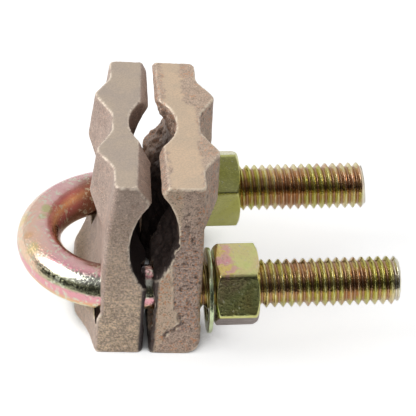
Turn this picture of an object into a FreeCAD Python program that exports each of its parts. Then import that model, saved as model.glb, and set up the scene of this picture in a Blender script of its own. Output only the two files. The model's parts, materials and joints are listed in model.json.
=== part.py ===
"""Ground rod clamp: two cast bronze jaws on a threaded U-bolt, closed by two hex nuts.

Millimetres. X runs along the bolt legs towards the nuts, Y is across the legs, Z is up.
The origin is on the axis of the rod groove, where it leaves the foot of the jaws:
x = 0 is the parting plane of the jaws, y = 0 lies midway between the legs.
The near leg is the one at -Y, the far leg the one at +Y.
"""

import FreeCAD, Part
import math
import os
from FreeCAD import Vector

# Driving dimensions of the U-bolt
leg_spacing = 31.0           # between the centre lines of the two legs
shank_d = 8.45               # rolled-thread blank, so thinner than the thread's crest
crest_d = 9.25               # crest of the 3/8-16 thread
leg_height = 11.3            # legs above the foot of the jaws
bend_back = 4.9              # parting plane to the centre of the bend
thread_start = 1.0           # where the thread begins on each leg
near_leg_end = 47.2
far_leg_end = 45.6
tip_chamfer = 0.75
far_tip_slant = 5.5          # degrees by which the far tip was sheared out of square
bolt_lean = 2.6              # degrees by which the tips stand higher, square to the nuts' seat
bolt_swing = 1.3             # degrees of play by which the tips stand further back
bolt_pivot_x = -3.0          # where the bolt lies centred in its slots

# Driving dimensions of the nuts and washers
nut_across_flats = 14.29
nut_height = 8.3
nut_face_angle = 30.0        # chamfer of the corners, in degrees
nut_face_d = 13.6            # round bearing face left by the chamfer
near_nut_play = 0.65         # how far the near nut is backed off its washer
near_nut_turn = 41.0         # degrees from +Z towards -Y to a corner
far_nut_turn = 1.0
thread_clearance = 0.05      # radial, between crest and nut bore
washer_d = 16.2
washer_thickness = 0.8
washer_clearance = 1.3       # radial, between crest and washer hole
near_washer_play = 0.8       # of the near nut's play, the share between seat and washer
face_clearance = 0.03        # between faces that are drawn up to each other

# Driving dimensions shared by both jaws
slot_wall = 0.8              # casting left outside each slot
jaw_height = 38.2
land_gap = 0.6               # between the two lands on average, as the clamp is stored
slot_clearance = 0.35        # at each side of a leg in its slot
slot_low = 2.7               # lower end of the oval slots above the foot
slot_break_out = 0.6         # how far the slots' core ran past the back face
bend_height = 24.5           # above this level the back of a jaw leans inwards
bend_r = 12.0
end_bevel_x = 1.0            # inner upright edges
end_bevel_y = 0.75
bevel_r = 1.5
back_corner_r = 1.3          # outer upright edges
rod_groove_depth = 4.1
rod_groove_r = 11.4
rib_centre_y = 9.3           # the two ribs that back the edges of the rod groove
rib_foot_in_y = 2.8
rib_foot_out_y = 15.0
rib_crest_r = 2.4
rib_foot_r = 4.5
rib_slope_height = 6.0       # height of the slope at the lower end of the ribs

# What differs between the jaws; sizes in x are distances out from the parting plane
rear_jaw_sizes = {
    "back_seat": 9.0,        # back face at the height of the legs
    "back_top": 7.6,         # back face at the top
    "draft": 0.0,            # lean of the back face below bend_height, in degrees
    "foot_r": 2.0,           # lower back edge
    "land_near": 0.4,        # land at the near and far ends, as the castings aren't quite true
    "land_far": 0.3,
    "slot_high": 16.0,       # upper end of the oval slots above the foot
    "rib_rise": 3.2,         # rib crest above the back face, before its rounding
    "rib_low": 24.5,         # where the slope under the ribs begins
    "top_bevel_near": 3.2,   # width of the inner top bevel at its near and far ends
    "top_bevel_far": 1.1,
    "top_bevel_fall": 1.25,  # its height as a multiple of its width
    "cable_near": {"r": 15.6, "depth": 3.9, "height": 24.7},
    "cable_far": {"r": 13.5, "depth": 3.8, "height": 26.5},
}
front_jaw_sizes = {
    "back_seat": 9.95,
    "back_top": 8.9,
    "draft": bolt_lean,
    "foot_r": 3.2,
    "land_near": 0.65,
    "land_far": -0.15,
    "slot_high": 16.8,
    "rib_rise": 3.5,
    "rib_low": 23.1,
    "top_bevel_near": 1.4,
    "top_bevel_far": 1.4,
    "top_bevel_fall": 1.4,
    "cable_near": {"r": 15.0, "depth": 4.4, "height": 26.7},
    "cable_far": {"r": 11.0, "depth": 3.9, "height": 29.3},
}

# Heel of the rear jaw, the ledge under the bend of the U-bolt
heel_reach = 13.2            # parting plane to its edge
heel_half_width = 9.4        # where its straight edge ends
heel_end = 9.4               # parting plane to its corners at the ends of the jaw
heel_lip = 3.4               # height of that edge
heel_root = 9.0              # height at which it meets the back face
heel_hollow = 5.0            # height of the hollow between root and lip
heel_hollow_x = 10.4
heel_edge_r = 0.5
heel_lip_r = 1.1
heel_hollow_r = 4.0
heel_corner_r = 2.4
heel_waist_x = 10.6          # the edge draws in here, between its straight middle and its ends
heel_waist_y = 15.2
heel_waist_r = 20.0
heel_notch = 6.3             # height of the notches in which the legs cross it

# Derived
leg_y = leg_spacing / 2
shank_r = shank_d / 2
crest_r = crest_d / 2
half_gap = land_gap / 2
slot_width = crest_d + 2 * slot_clearance
jaw_width = leg_spacing + slot_width + 2 * slot_wall
half_width = jaw_width / 2
nut_bore_r = crest_r + thread_clearance
washer_hole_r = crest_r + washer_clearance
washer_drop = washer_clearance - thread_clearance
seat_x = front_jaw_sizes["back_seat"]
far_rim_set_back = (leg_y + washer_d / 2) * math.tan(math.radians(bolt_swing))
far_washer_start = seat_x + far_rim_set_back + face_clearance
far_nut_start = far_washer_start + washer_thickness + face_clearance
near_washer_start = far_washer_start + near_washer_play * near_nut_play / 2
near_nut_start = far_nut_start + near_nut_play
beyond = 5.0                 # how far a cutting tool runs past what it cuts
level = 1e-6                 # below this an edge counts as lying in a plane
across = Vector(0, jaw_width, 0)


def along_y(y):
    """Maps a side view (x, z) into space at the given y."""
    return lambda a, b: Vector(a, y, b)


def along_z(z):
    """Maps a plan view (x, y) into space at the given z."""
    return lambda a, b: Vector(a, b, z)


def rounded_face(corners, place):
    """Face inside a closed outline of corners (a, b, radius), each turned by an arc."""
    count = len(corners)
    starts, middles, ends = [], [], []
    for i, (a, b, radius) in enumerate(corners):
        here = Vector(a, b, 0)
        before = Vector(*corners[i - 1][:2], 0) - here
        after = Vector(*corners[(i + 1) % count][:2], 0) - here
        before.normalize()
        after.normalize()
        half = before.getAngle(after) / 2
        setback = radius / math.tan(half)
        inward = before + after
        inward.normalize()
        centre = here + inward * (radius / math.sin(half))
        starts.append(here + before * setback)
        middles.append(centre - inward * radius)
        ends.append(here + after * setback)
    edges = []
    for i in range(count):
        if corners[i][2] > 0:
            three = [place(p.x, p.y) for p in (starts[i], middles[i], ends[i])]
            edges.append(Part.Arc(*three).toShape())
        run = (place(ends[i].x, ends[i].y), place(starts[(i + 1) % count].x, starts[(i + 1) % count].y))
        edges.append(Part.LineSegment(*run).toShape())
    return Part.Face(Part.Wire(edges))


def mirrored_in_y(corners):
    """Closes a half outline, listed from y = 0 side to side, with its mirror image."""
    return corners + [(a, -b, r) for a, b, r in reversed(corners)]


def rod(radius, start, direction, length):
    return Part.makeCylinder(radius, length, start, direction)


def back_x(s, z):
    """Distance from the parting plane to the plain back face at height z."""
    straight = s["back_seat"] - (z - leg_height) * math.tan(math.radians(s["draft"]))
    if z <= bend_height:
        return straight
    at_bend = back_x(s, bend_height)
    return at_bend + (s["back_top"] - at_bend) * (z - bend_height) / (jaw_height - bend_height)


def jaw_plate(s):
    """Plain body of a jaw: flat land, leaning upper back, rounded back and bevelled inner edges."""
    back = [
        (s["back_top"], jaw_height, 0),
        (back_x(s, bend_height), bend_height, bend_r),
    ]
    innermost = min(s["land_near"], s["land_far"])
    inner = [(innermost, 0, 0), (innermost, jaw_height, 0)]
    foot = (back_x(s, 0), 0, 0)
    rounded_foot = (back_x(s, 0), 0, s["foot_r"])
    slab = rounded_face(inner + back + [foot], along_y(-half_width)).extrude(across)
    slab = slab.makeFillet(back_corner_r, [e for e in slab.Edges if on_back_outline(e)])
    side = rounded_face(inner + back + [rounded_foot], along_y(-half_width)).extrude(across)
    reach = 2 * heel_reach
    plan = rounded_face([
        (s["land_far"], half_width - end_bevel_y, bevel_r),
        (s["land_far"] + end_bevel_x, half_width, 0),
        (reach, half_width, 0),
        (reach, -half_width, 0),
        (s["land_near"] + end_bevel_x, -half_width, 0),
        (s["land_near"], end_bevel_y - half_width, bevel_r),
    ], along_z(0))
    return slab.common(side).common(plan.extrude(Vector(0, 0, jaw_height))).cut(top_bevel(s))


def on_back_outline(edge):
    """True for the edges between the back of the plain slab and its two end faces."""
    box = edge.BoundBox
    on_end = box.YLength < level
    on_level = box.ZLength < level
    return on_end and not on_level and box.XMin > half_gap + end_bevel_x


def top_bevel(s):
    """Wedge that takes off the inner top edge, its width changing from the near to the far end."""
    near_x = s["land_near"] + s["top_bevel_near"]
    growth = (s["land_far"] + s["top_bevel_far"] - near_x) / jaw_width
    x = near_x - growth * beyond
    y = -half_width - beyond
    reach = 2 * s["top_bevel_near"]
    fall = reach * s["top_bevel_fall"]
    corners = [
        Vector(x - reach, y, jaw_height - fall),
        Vector(x + reach, y, jaw_height + fall),
        Vector(x - reach, y, jaw_height + fall),
    ]
    run = jaw_width + 2 * beyond
    return Part.Face(Part.makePolygon(corners + corners[:1])).extrude(Vector(growth * run, run, 0))


def jaw_ribs(s):
    """Two upright ribs on the upper back, which follow its lean and slope away below."""
    at_bend = back_x(s, bend_height)
    lean = math.atan2(at_bend - s["back_top"], jaw_height - bend_height)
    outward = Vector(math.cos(lean), 0, math.sin(lean))
    upward = Vector(-math.sin(lean), 0, math.cos(lean))
    low = s["rib_low"]
    base = Vector(at_bend, 0, bend_height) - upward * (bend_height - low + beyond)
    root = half_gap + rod_groove_depth - at_bend
    plan = rounded_face(mirrored_in_y([
        (0, rib_foot_in_y, rib_foot_r),
        (s["rib_rise"], rib_centre_y, rib_crest_r),
        (0, rib_foot_out_y, rib_foot_r),
        (0, half_width - back_corner_r, 0),
        (root, half_width - back_corner_r, 0),
    ]), lambda a, b: base + outward * a + Vector(0, b, 0))
    ribs = plan.extrude(upward * (jaw_height - low + 2 * beyond))
    crest_x = at_bend + s["rib_rise"]
    side = rounded_face([
        (half_gap + rod_groove_depth, low, 0),
        (back_x(s, low), low, 0),
        (crest_x, low + rib_slope_height, 0),
        (crest_x + beyond, jaw_height, 0),
        (half_gap + rod_groove_depth, jaw_height, 0),
    ], along_y(-half_width))
    return ribs.common(side.extrude(across))


def jaw_heel(s):
    """Ledge along the foot of the rear jaw, under the bend of the U-bolt, notched for its legs."""
    root = half_gap + rod_groove_depth
    plan = rounded_face(mirrored_in_y([
        (heel_reach, heel_half_width, heel_corner_r),
        (heel_waist_x, heel_waist_y, heel_waist_r),
        (heel_end, half_width, back_corner_r / 2),
        (root, half_width, 0),
    ]), along_z(0))
    section = rounded_face([
        (root, 0, 0),
        (heel_reach, 0, heel_edge_r),
        (heel_reach, heel_lip, heel_lip_r),
        (heel_hollow_x, heel_hollow, heel_hollow_r),
        (s["back_seat"], heel_root, 0),
        (root, heel_root, 0),
    ], along_y(-half_width))
    heel = plan.extrude(Vector(0, 0, heel_root)).common(section.extrude(across))
    notches = []
    for y in (-leg_y, leg_y):
        corner = Vector(s["back_seat"], y - slot_width / 2, heel_notch)
        notches.append(Part.makeBox(heel_reach, slot_width, heel_root, corner))
    return heel.cut(notches)


def leg_slot(s, y):
    """Oval hole through a jaw for one leg of the bolt."""
    r = slot_width / 2
    slot_high = s["slot_high"]
    length = beyond + back_x(s, slot_low) + slot_break_out
    oval = Part.makeBox(length, slot_width, slot_high - slot_low - slot_width,
                        Vector(-beyond, y - r, slot_low + r))
    for z in (slot_low + r, slot_high - r):
        oval = oval.fuse(rod(r, Vector(-beyond, y, z), Vector(1, 0, 0), length))
    return oval.removeSplitter()


def cable_groove(s):
    """Cutter for the groove across a jaw, which narrows from the near end to the far end."""
    near, far = s["cable_near"], s["cable_far"]
    near_axis = Vector(half_gap + near["depth"] - near["r"], -half_width, near["height"])
    far_axis = Vector(half_gap + far["depth"] - far["r"], half_width, far["height"])
    run = far_axis - near_axis
    growth = (far["r"] - near["r"]) / run.Length
    forward = Vector(run).normalize()
    return Part.makeCone(near["r"] - growth * beyond, far["r"] + growth * beyond, run.Length + 2 * beyond,
                         near_axis - forward * beyond, forward)


def jaw(s):
    """One casting, built on the +X side of the parting plane."""
    rod_axis_x = half_gap + rod_groove_depth - rod_groove_r
    cuts = [
        rod(rod_groove_r, Vector(rod_axis_x, 0, -beyond), Vector(0, 0, 1), jaw_height + 2 * beyond),
        cable_groove(s),
        leg_slot(s, -leg_y),
        leg_slot(s, leg_y),
    ]
    body = jaw_plate(s).fuse(jaw_ribs(s))
    if s is rear_jaw_sizes:
        body = body.fuse(jaw_heel(s))
    return body.cut(cuts).removeSplitter()


def rear_jaw():
    return jaw(rear_jaw_sizes).mirror(Vector(0, 0, 0), Vector(1, 0, 0))


def front_jaw():
    return jaw(front_jaw_sizes)


def set_in_slots(shape):
    """Turns a piece of the square-built bolt to the way the bolt lies in its slots."""
    pivot = Vector(bolt_pivot_x, 0, leg_height)
    turned = shape.copy()
    turned.rotate(pivot, Vector(0, 1, 0), -bolt_lean)
    turned.rotate(pivot, Vector(0, 0, 1), bolt_swing)
    return turned


def u_bolt():
    """Bent rod with a threaded stretch on each leg, drawn at the thread's crest."""
    centre = Vector(-bend_back, 0, leg_height)
    across_bend = Vector(0, 0, 1)
    bend = Part.makeTorus(leg_y, shank_r, centre, across_bend)
    half_space = Part.makeBox(leg_spacing, 2 * leg_spacing, leg_spacing,
                              Vector(-bend_back - leg_spacing, -leg_spacing, leg_height - leg_y))
    bolt = bend.common(half_space)
    for y, end in ((-leg_y, near_leg_end), (leg_y, far_leg_end)):
        foot = Vector(-bend_back, y, leg_height)
        bolt = bolt.fuse(rod(shank_r, foot, Vector(1, 0, 0), bend_back + end - tip_chamfer))
        bolt = bolt.fuse(threaded_end(y, end))
    bolt = bolt.cut(far_tip_shear())
    return bolt.removeSplitter()


def threaded_end(y, end):
    """Threaded stretch of one leg, with a run-in cone at its root and a chamfered tip."""
    run_in = crest_r - shank_r
    profile = [
        (thread_start, 0), (thread_start, shank_r), (thread_start + run_in, crest_r),
        (end - tip_chamfer, crest_r), (end, crest_r - tip_chamfer), (end, 0),
    ]
    points = [Vector(x, y, leg_height + r) for x, r in profile]
    wire = Part.makePolygon(points + points[:1])
    return Part.Face(wire).revolve(Vector(0, y, leg_height), Vector(1, 0, 0), 360)


def far_tip_shear():
    """Wedge that takes the far tip off out of square, longest at its lower side."""
    tool = Part.makeBox(beyond, 2 * beyond + crest_d, 2 * beyond + crest_d,
                        Vector(0, leg_y - crest_r - beyond, -crest_r - beyond))
    tool.rotate(Vector(0, 0, 0), Vector(0, 1, 0), -far_tip_slant)
    lowest = crest_r * math.tan(math.radians(far_tip_slant))
    tool.translate(Vector(far_leg_end - lowest, 0, leg_height))
    return tool


def hex_nut(y, nut_start, turn):
    """Hex nut with both faces chamfered and a plain bore that stands for its thread."""
    corner_r = nut_across_flats / 2 / math.cos(math.pi / 6)
    hexagon = []
    for i in range(6):
        angle = math.radians(turn + 60 * i)
        hexagon.append(Vector(nut_start, y - corner_r * math.sin(angle),
                              leg_height + corner_r * math.cos(angle)))
    prism = Part.Face(Part.makePolygon(hexagon + hexagon[:1])).extrude(Vector(nut_height, 0, 0))
    face_r = nut_face_d / 2
    fall = (corner_r - face_r) * math.tan(math.radians(nut_face_angle))
    end = nut_start + nut_height
    outline = [
        (nut_start, nut_bore_r), (nut_start, face_r), (nut_start + fall, corner_r),
        (end - fall, corner_r), (end, face_r), (end, nut_bore_r),
    ]
    points = [Vector(x, y, leg_height + r) for x, r in outline]
    turned = Part.Face(Part.makePolygon(points + points[:1]))
    return prism.common(turned.revolve(Vector(0, y, leg_height), Vector(1, 0, 0), 360))


def washer(y, start):
    """Thin stamped washer that hangs on its leg between the front jaw and the nut."""
    end = start + washer_thickness
    outer_r = washer_d / 2
    axis_z = leg_height - washer_drop
    outline = [(start, washer_hole_r), (start, outer_r), (end, outer_r), (end, washer_hole_r)]
    points = [Vector(x, y, axis_z + r) for x, r in outline]
    section = Part.Face(Part.makePolygon(points + points[:1]))
    return section.revolve(Vector(0, y, axis_z), Vector(1, 0, 0), 360)


def main():
    pieces = {
        "rear_jaw": rear_jaw(),
        "front_jaw": front_jaw(),
        "u_bolt": set_in_slots(u_bolt()),
        "near_nut": set_in_slots(hex_nut(-leg_y, near_nut_start, near_nut_turn)),
        "far_nut": set_in_slots(hex_nut(leg_y, far_nut_start, far_nut_turn)),
        "near_washer": set_in_slots(washer(-leg_y, near_washer_start)),
        "far_washer": set_in_slots(washer(leg_y, far_washer_start)),
    }
    os.makedirs("parts", exist_ok=True)
    for name, shape in pieces.items():
        shape.exportStep(f"parts/{name}.step")
        box = shape.BoundBox
        print(f"{name}: {len(shape.Solids)} solid, {shape.Volume / 1000:.2f} cm3, valid {shape.isValid()},"
              f" x {box.XMin:.1f} to {box.XMax:.1f}, y {box.YMin:.1f} to {box.YMax:.1f},"
              f" z {box.ZMin:.1f} to {box.ZMax:.1f}")


main()
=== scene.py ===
# %% [markdown]
# # Ground rod clamp
#
# Two cast bronze jaws ride on a plated U-bolt. Two hex nuts draw them together, so that a cable in the
# cross groove is pressed against a rod in the upright groove.
#
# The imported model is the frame: it says where every piece is and how it moves. This script gives each
# piece its finish. The castings are copied and given their cast skin, the U-bolt is made new with a real
# thread, and the nuts and washers are turned as grids, so that their edges are rounded as on real ones.

# %% Load the frame
import json
import math
import bmesh
import bpy
import numpy as np
from mathutils import Matrix, Vector


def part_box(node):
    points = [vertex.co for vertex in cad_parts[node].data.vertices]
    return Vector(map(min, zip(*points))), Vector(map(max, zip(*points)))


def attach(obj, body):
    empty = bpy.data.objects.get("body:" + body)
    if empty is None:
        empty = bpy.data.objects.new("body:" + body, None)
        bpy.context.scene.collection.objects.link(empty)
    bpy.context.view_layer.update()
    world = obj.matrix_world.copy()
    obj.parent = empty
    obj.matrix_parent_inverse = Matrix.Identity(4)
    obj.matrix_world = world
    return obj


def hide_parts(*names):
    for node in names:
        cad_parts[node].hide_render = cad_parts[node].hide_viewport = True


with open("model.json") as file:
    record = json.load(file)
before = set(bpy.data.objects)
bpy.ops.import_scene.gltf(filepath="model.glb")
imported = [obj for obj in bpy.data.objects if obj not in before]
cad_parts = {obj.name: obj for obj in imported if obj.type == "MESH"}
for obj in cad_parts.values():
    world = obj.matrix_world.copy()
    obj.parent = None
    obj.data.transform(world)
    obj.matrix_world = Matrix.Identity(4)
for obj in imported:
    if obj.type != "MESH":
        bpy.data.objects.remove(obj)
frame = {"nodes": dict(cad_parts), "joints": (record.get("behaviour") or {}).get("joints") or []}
nodes = frame["nodes"]
joints = {joint["name"]: joint for joint in frame["joints"]}
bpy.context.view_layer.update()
scene = bpy.context.scene
MM = 0.001
print("nodes:", ", ".join(sorted(nodes)))

# %% [markdown]
# ## Camera
#
# The photograph was taken with a long lens from a little above, turned slightly on its side. A camera is
# placed by its position and the point it looks at. `to_track_quat` turns its -Z axis onto the line between
# the two and keeps its Y axis up, and the roll is added about that line.

# %% Camera
camera_place = Vector((-24.68, -307.17, 242.84)) * MM
camera_aim = Vector((11.84, -0.04, 18.82)) * MM
camera_roll = math.radians(5.45)
camera_lens = 171.85      # mm, on Blender's 36 mm sensor

camera_data = bpy.data.cameras.new("camera")
camera_data.lens = camera_lens
camera = bpy.data.objects.new("camera", camera_data)
scene.collection.objects.link(camera)
line_of_sight = camera_aim - camera_place
turn = line_of_sight.to_track_quat("-Z", "Y").to_matrix() @ Matrix.Rotation(camera_roll, 3, "Z")
camera.matrix_world = Matrix.Translation(camera_place) @ turn.to_4x4()
scene.camera = camera
print("camera stands", round(line_of_sight.length / MM), "mm away")

# %% [markdown]
# ## Small helpers
#
# Almost everything below is either a mesh from arrays or a node in a tree, so both get a short helper.
# `mesh_object` makes an object from points and faces. `NodeTree` adds nodes to any node tree and wires
# them: an input is given as a value or as the output socket of an earlier node.

# %% Helpers for meshes and nodes
def mesh_object(name, points, faces):
    mesh = bpy.data.meshes.new(name)
    mesh.from_pydata([tuple(p) for p in points], [], [tuple(f) for f in faces])
    mesh.validate()
    mesh.shade_smooth()
    obj = bpy.data.objects.new(name, mesh)
    scene.collection.objects.link(obj)
    return obj


class NodeTree:
    """Adds nodes to a tree and links them as they are made."""

    def __init__(self, tree):
        self.tree = tree

    def add(self, kind, inputs=None, **settings):
        node = self.tree.nodes.new(kind)
        for name, value in settings.items():
            setattr(node, name, value)
        for key, value in (inputs or {}).items():
            self.set(node.inputs[key], value)
        return node

    def set(self, socket, value):
        if isinstance(value, bpy.types.NodeSocket):
            self.tree.links.new(value, socket)
        else:
            socket.default_value = value

    def maths(self, operation, *values, clamp=False):
        node = self.add("ShaderNodeMath", operation=operation, use_clamp=clamp)
        for socket, value in zip(node.inputs, values):
            self.set(socket, value)
        return node.outputs[0]

    def product(self, first, *others):
        for other in others:
            first = self.maths("MULTIPLY", first, other)
        return first

    def vector(self, operation, *values):
        node = self.add("ShaderNodeVectorMath", operation=operation)
        for socket, value in zip(node.inputs, values):
            self.set(socket, value)
        return node.outputs["Value"] if operation in ("DOT_PRODUCT", "LENGTH") else node.outputs[0]

    def scaled(self, vector, factor):
        node = self.add("ShaderNodeVectorMath", {"Vector": vector, "Scale": factor}, operation="SCALE")
        return node.outputs[0]

    def ramp(self, value, low, high, to_low=0.0, to_high=1.0, smooth=True):
        """Maps low..high to to_low..to_high and holds the ends."""
        node = self.add("ShaderNodeMapRange", {0: value, 1: low, 2: high, 3: to_low, 4: to_high})
        node.interpolation_type = "SMOOTHSTEP" if smooth else "LINEAR"
        return node.outputs[0]

    def noise(self, vector, scale, detail=2.0, roughness=0.5, distortion=0.0):
        inputs = {"Vector": vector, "Scale": scale, "Detail": detail, "Roughness": roughness,
                  "Distortion": distortion}
        return self.add("ShaderNodeTexNoise", inputs).outputs[0]


# %% [markdown]
# ## Geometry Nodes in a script
#
# A Geometry Nodes tree has named inputs, like a function. `geometry_tree` makes them, and `grow` puts the
# tree on an object, sets each input by its socket's identifier, and turns the evaluated result into a
# plain mesh. The modifier doesn't stay: the finished piece is a mesh like any other.

# %% Geometry Nodes helpers
def geometry_tree(name, **inputs):
    """A new tree with a geometry input and output and one float or material input per keyword."""
    tree = bpy.data.node_groups.new(name, "GeometryNodeTree")
    tree.interface.new_socket("Geometry", in_out="OUTPUT", socket_type="NodeSocketGeometry")
    tree.interface.new_socket("Geometry", in_out="INPUT", socket_type="NodeSocketGeometry")
    for key, value in inputs.items():
        kind = "NodeSocketMaterial" if value is None else "NodeSocketFloat"
        socket = tree.interface.new_socket(key.replace("_", " "), in_out="INPUT", socket_type=kind)
        if value is not None:
            socket.default_value = value
    maker = NodeTree(tree)
    group_input = maker.add("NodeGroupInput")
    values = {key: group_input.outputs[key.replace("_", " ")] for key in inputs}
    return maker, group_input.outputs["Geometry"], values


def with_marks(maker, geometry, marks):
    """Stores each value as a named attribute of the points."""
    for name, value in marks.items():
        inputs = {"Geometry": geometry, "Name": name, "Value": value}
        geometry = maker.add("GeometryNodeStoreNamedAttribute", inputs).outputs[0]
    return geometry


def finish_tree(maker, geometry, material):
    """Ends a tree in Realize Instances and Set Material."""
    real = maker.add("GeometryNodeRealizeInstances", {0: geometry})
    painted = maker.add("GeometryNodeSetMaterial", {"Geometry": real.outputs[0], "Material": material})
    maker.add("NodeGroupOutput", {"Geometry": painted.outputs[0]})


def grow(obj, maker, **values):
    """Runs a Geometry Nodes tree on obj and keeps the result as obj's plain mesh."""
    modifier = obj.modifiers.new("grow", "NODES")
    modifier.node_group = maker.tree
    for item in maker.tree.interface.items_tree:
        key = item.name.replace(" ", "_")
        if item.in_out == "INPUT" and key in values:
            modifier[item.identifier] = values[key]
    bpy.context.view_layer.update()
    evaluated = obj.evaluated_get(bpy.context.evaluated_depsgraph_get())
    mesh = bpy.data.meshes.new_from_object(evaluated)
    obj.modifiers.remove(modifier)
    obj.data = mesh
    mesh.shade_smooth()
    print(f"{obj.name}: {len(mesh.vertices)} points, {triangle_count(mesh)} triangles")
    return obj


def triangle_count(mesh):
    mesh.calc_loop_triangles()
    return len(mesh.loop_triangles)


# %% [markdown]
# ## Cast bronze
#
# A sand casting keeps the grain of the mould: a brown, finely pitted skin. Where it was ground, on the top
# and partly on the near end of the rear jaw, the metal is pale and smooth. Edges are pale too, partly worn
# where they rubbed on other castings and partly a painted highlight. The cable groove, which nothing has
# touched, is almost black with dirt and painted shade, and the walls of the rod groove just below the top get
# painted shade too. Attributes on the mesh say where each state is: `ground`, `worn_and_highlight`, `pit`,
# `inside` and
# `rod_wall` on both castings, and `calm`, `burnt` and `lip` for the flaw of the front one. The
# material mixes its colours by them, so colour and shape always agree.

# %% Shader helpers
def new_material(name):
    """An empty material with its Principled shader wired to the output."""
    material = bpy.data.materials.new(name)
    material.use_nodes = True
    material.node_tree.nodes.clear()
    maker = NodeTree(material.node_tree)
    shader = maker.add("ShaderNodeBsdfPrincipled")
    maker.add("ShaderNodeOutputMaterial", {"Surface": shader.outputs[0]})
    return material, maker, shader


def mixed(maker, factor, first, second):
    node = maker.add("ShaderNodeMix", {"Factor": factor, 6: first, 7: second}, data_type="RGBA")
    return node.outputs[2]


def layered(maker, colour, layers):
    """Lays colours over each other; layers are (amount, colour) pairs from the lowest to the highest."""
    for amount, upper in layers:
        colour = mixed(maker, amount, colour, upper)
    return colour


def attribute(maker, name):
    return maker.add("ShaderNodeAttribute", attribute_name=name).outputs["Fac"]


def object_place(maker):
    return maker.add("ShaderNodeTexCoord").outputs["Object"]


def parts_of(maker, vector):
    """The X, Y and Z of a vector."""
    return maker.add("ShaderNodeSeparateXYZ", {0: vector}).outputs


def colour_ramp(maker, value, stops):
    """A colour for each value from 0 to 1; stops are (value, colour) pairs in rising order."""
    node = maker.add("ShaderNodeValToRGB", {0: value})
    elements = node.color_ramp.elements
    elements[0].position, elements[0].color = stops[0]
    elements[1].position, elements[1].color = stops[-1]
    for position, colour in stops[1:-1]:
        elements.new(position).color = colour
    return node.outputs[0]


def bumped(maker, shader, height, strength, distance):
    bump = maker.add("ShaderNodeBump", {"Strength": strength, "Distance": distance, "Height": height})
    maker.set(shader.inputs["Normal"], bump.outputs[0])


# %% Bronze colours
skin_dark = (0.27, 0.18, 0.14, 1)
skin_mid = (0.48, 0.345, 0.27, 1)
skin_light = (0.74, 0.57, 0.455, 1)
calm_skin = (0.76, 0.59, 0.41, 1)
burnt_skin = (0.46, 0.345, 0.30, 1)
# pale of worn metal, also used for painted highlights: on edges, on the fold's lip and as glints
pale_wear_and_highlight = (0.98, 0.83, 0.65, 1)
speck_orange = (0.68, 0.31, 0.15, 1)
pit_dark = (0.11, 0.075, 0.06, 1)
# dark of the grooves: dirt with painted shade, and painted shade on the bolt in its slot
groove_dark = (0.055, 0.043, 0.044, 1)
stroke_dark = (0.34, 0.24, 0.14, 1)
stroke_light = (0.78, 0.60, 0.34, 1)
rear_ground = (0.56, 0.455, 0.36, 1), (0.63, 0.505, 0.375, 1)
front_ground = (0.72, 0.565, 0.41, 1), (0.80, 0.61, 0.43, 1)
skin_relief = 0.14 * MM
below_the_top = 0.034, 0.030     # over these heights in m a ground face turns from top to end face


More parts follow.
